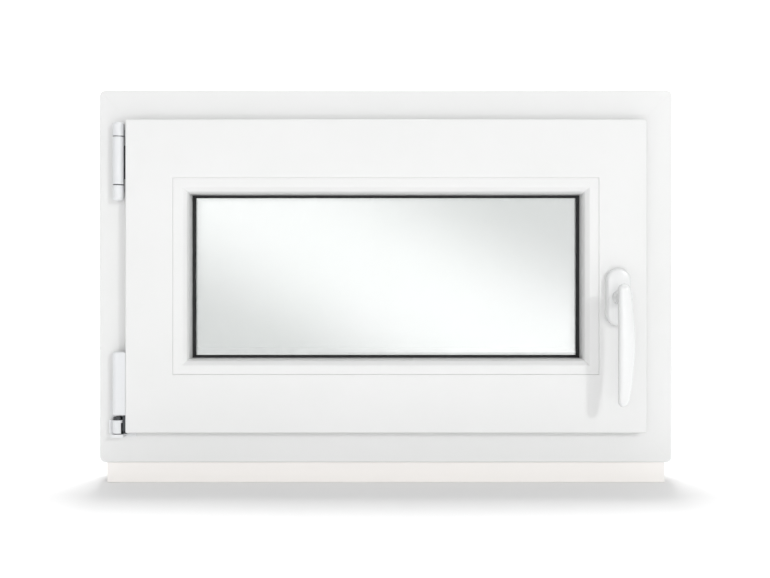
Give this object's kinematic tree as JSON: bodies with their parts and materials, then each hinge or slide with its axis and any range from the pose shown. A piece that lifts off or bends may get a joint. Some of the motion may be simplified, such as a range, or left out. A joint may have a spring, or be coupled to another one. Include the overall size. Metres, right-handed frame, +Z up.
{
  "type": "casement window",
  "caption": "White plastic tilt-and-turn casement window on a base profile, with sealed glazing, concealed locking gear, hinges and a lever handle.",
  "frame": {"origin": "middle of the base profile's underside, at mid-depth of the frame", "axes": "+X to the right seen from the room, +Y outdoors, +Z up"},
  "size_m": [0.7, 0.1435, 0.48],
  "materials": {
    "white_pvc": "satin white uPVC",
    "base_pvc": "plain white uPVC",
    "reinforcement_steel": "galvanised",
    "black_seal": "matt EPDM",
    "zinc_steel": "zinc plated",
    "spring_steel": "bright spring steel",
    "bright_steel": "bright zinc",
    "cover_plastic": "satin white",
    "pane_glass": "polished float glass",
    "spacer_aluminium": "mill finish",
    "block_plastic": "plain",
    "black_plastic": "plain",
    "handle_white": "white powder coat"
  },
  "bodies": {
    "frame": {"base_profile": "base_pvc", "frame_jamb_hinge": "white_pvc", "frame_jamb_lock": "white_pvc", "frame_head": "white_pvc", "frame_sill": "white_pvc", "frame_steel_sides": "reinforcement_steel", "frame_steel_rails": "reinforcement_steel", "drain_caps": "white_pvc", "rebate_gasket": "black_seal", "stay_bearing": "zinc_steel", "hinge_pin": "bright_steel", "hinge_pin_cap": "cover_plastic", "corner_bearing": "zinc_steel", "bearing_pin": "bright_steel", "bearing_cover": "cover_plastic", "lock_keeps": "zinc_steel", "tilt_keep": "zinc_steel", "keep_screws": "bright_steel", "bearing_screws": "bright_steel"},
    "turn_block": {"tilt_block": "zinc_steel", "pivot_cap": "cover_plastic"},
    "stay": {"stay_arm": "zinc_steel", "stay_eye_cap": "cover_plastic"},
    "handle": {"handle_lever": "handle_white", "handle_spindle": "bright_steel", "drive_pinion": "zinc_steel"},
    "lock_rod": {"drive_rod_lock": "zinc_steel"},
    "top_rod": {"drive_rod_top": "zinc_steel"},
    "bottom_rod": {"drive_rod_bottom": "zinc_steel"},
    "sash": {"sash_stile_hinge": "white_pvc", "sash_stile_lock": "white_pvc", "sash_rail_top": "white_pvc", "sash_rail_bottom": "white_pvc", "sash_steel_sides": "reinforcement_steel", "sash_steel_rails": "reinforcement_steel", "bead_hinge_side": "white_pvc", "bead_lock_side": "white_pvc", "bead_top": "white_pvc", "bead_bottom": "white_pvc", "pane_room": "pane_glass", "pane_outside": "pane_glass", "spacer_bar": "spacer_aluminium", "edge_seal": "black_seal", "room_gasket": "black_seal", "outer_gasket": "black_seal", "setting_blocks": "block_plastic", "overlap_gasket": "black_seal", "corner_hinge": "zinc_steel", "corner_hinge_cover": "cover_plastic", "hinge_screws": "bright_steel", "gearbox_case": "zinc_steel", "faceplates": "zinc_steel", "faceplate_screws": "bright_steel", "corner_strips": "spring_steel", "stay_guide": "zinc_steel", "handle_rosette": "handle_white", "rosette_base": "black_plastic", "rosette_screws": "bright_steel"}
  },
  "joints": [
    {"name": "sash_turn", "type": "hinge", "parent": "frame", "child": "turn_block", "pos_m": [-0.325, -0.044, 0.067], "axis": [0, 0, -1], "range_deg": [0, 90]},
    {"name": "sash_tilt", "type": "hinge", "parent": "turn_block", "child": "sash", "pos_m": [-0.325, -0.044, 0.067], "axis": [1, 0, 0], "range_deg": [0, 7]},
    {"name": "stay_swing", "type": "hinge", "parent": "turn_block", "child": "stay", "pos_m": [-0.325, -0.044, 0.429], "axis": [0, 0, -1], "range_deg": [0, 11.2]},
    {"name": "handle_turn", "type": "hinge", "parent": "sash", "child": "handle", "pos_m": [0.279, -0.02, 0.2275], "axis": [0, 1, 0], "range_deg": [0, 180]},
    {"name": "lock_rod_slide", "type": "slide", "parent": "sash", "child": "lock_rod", "axis": [0, 0, -1], "range_m": [0, 0.0293]},
    {"name": "top_rod_slide", "type": "slide", "parent": "sash", "child": "top_rod", "axis": [1, 0, 0], "range_m": [0, 0.0293]},
    {"name": "bottom_rod_slide", "type": "slide", "parent": "sash", "child": "bottom_rod", "axis": [-1, 0, 0], "range_m": [0, 0.0293]}
  ],
  "couplings": [
    {"joint": "stay_swing", "follows": "sash_tilt", "ratio": 1.557},
    {"joint": "lock_rod_slide", "follows": "handle_turn", "m_per_rad": 0.0093},
    {"joint": "top_rod_slide", "follows": "handle_turn", "m_per_rad": 0.0093},
    {"joint": "bottom_rod_slide", "follows": "handle_turn", "m_per_rad": 0.0093}
  ]
}
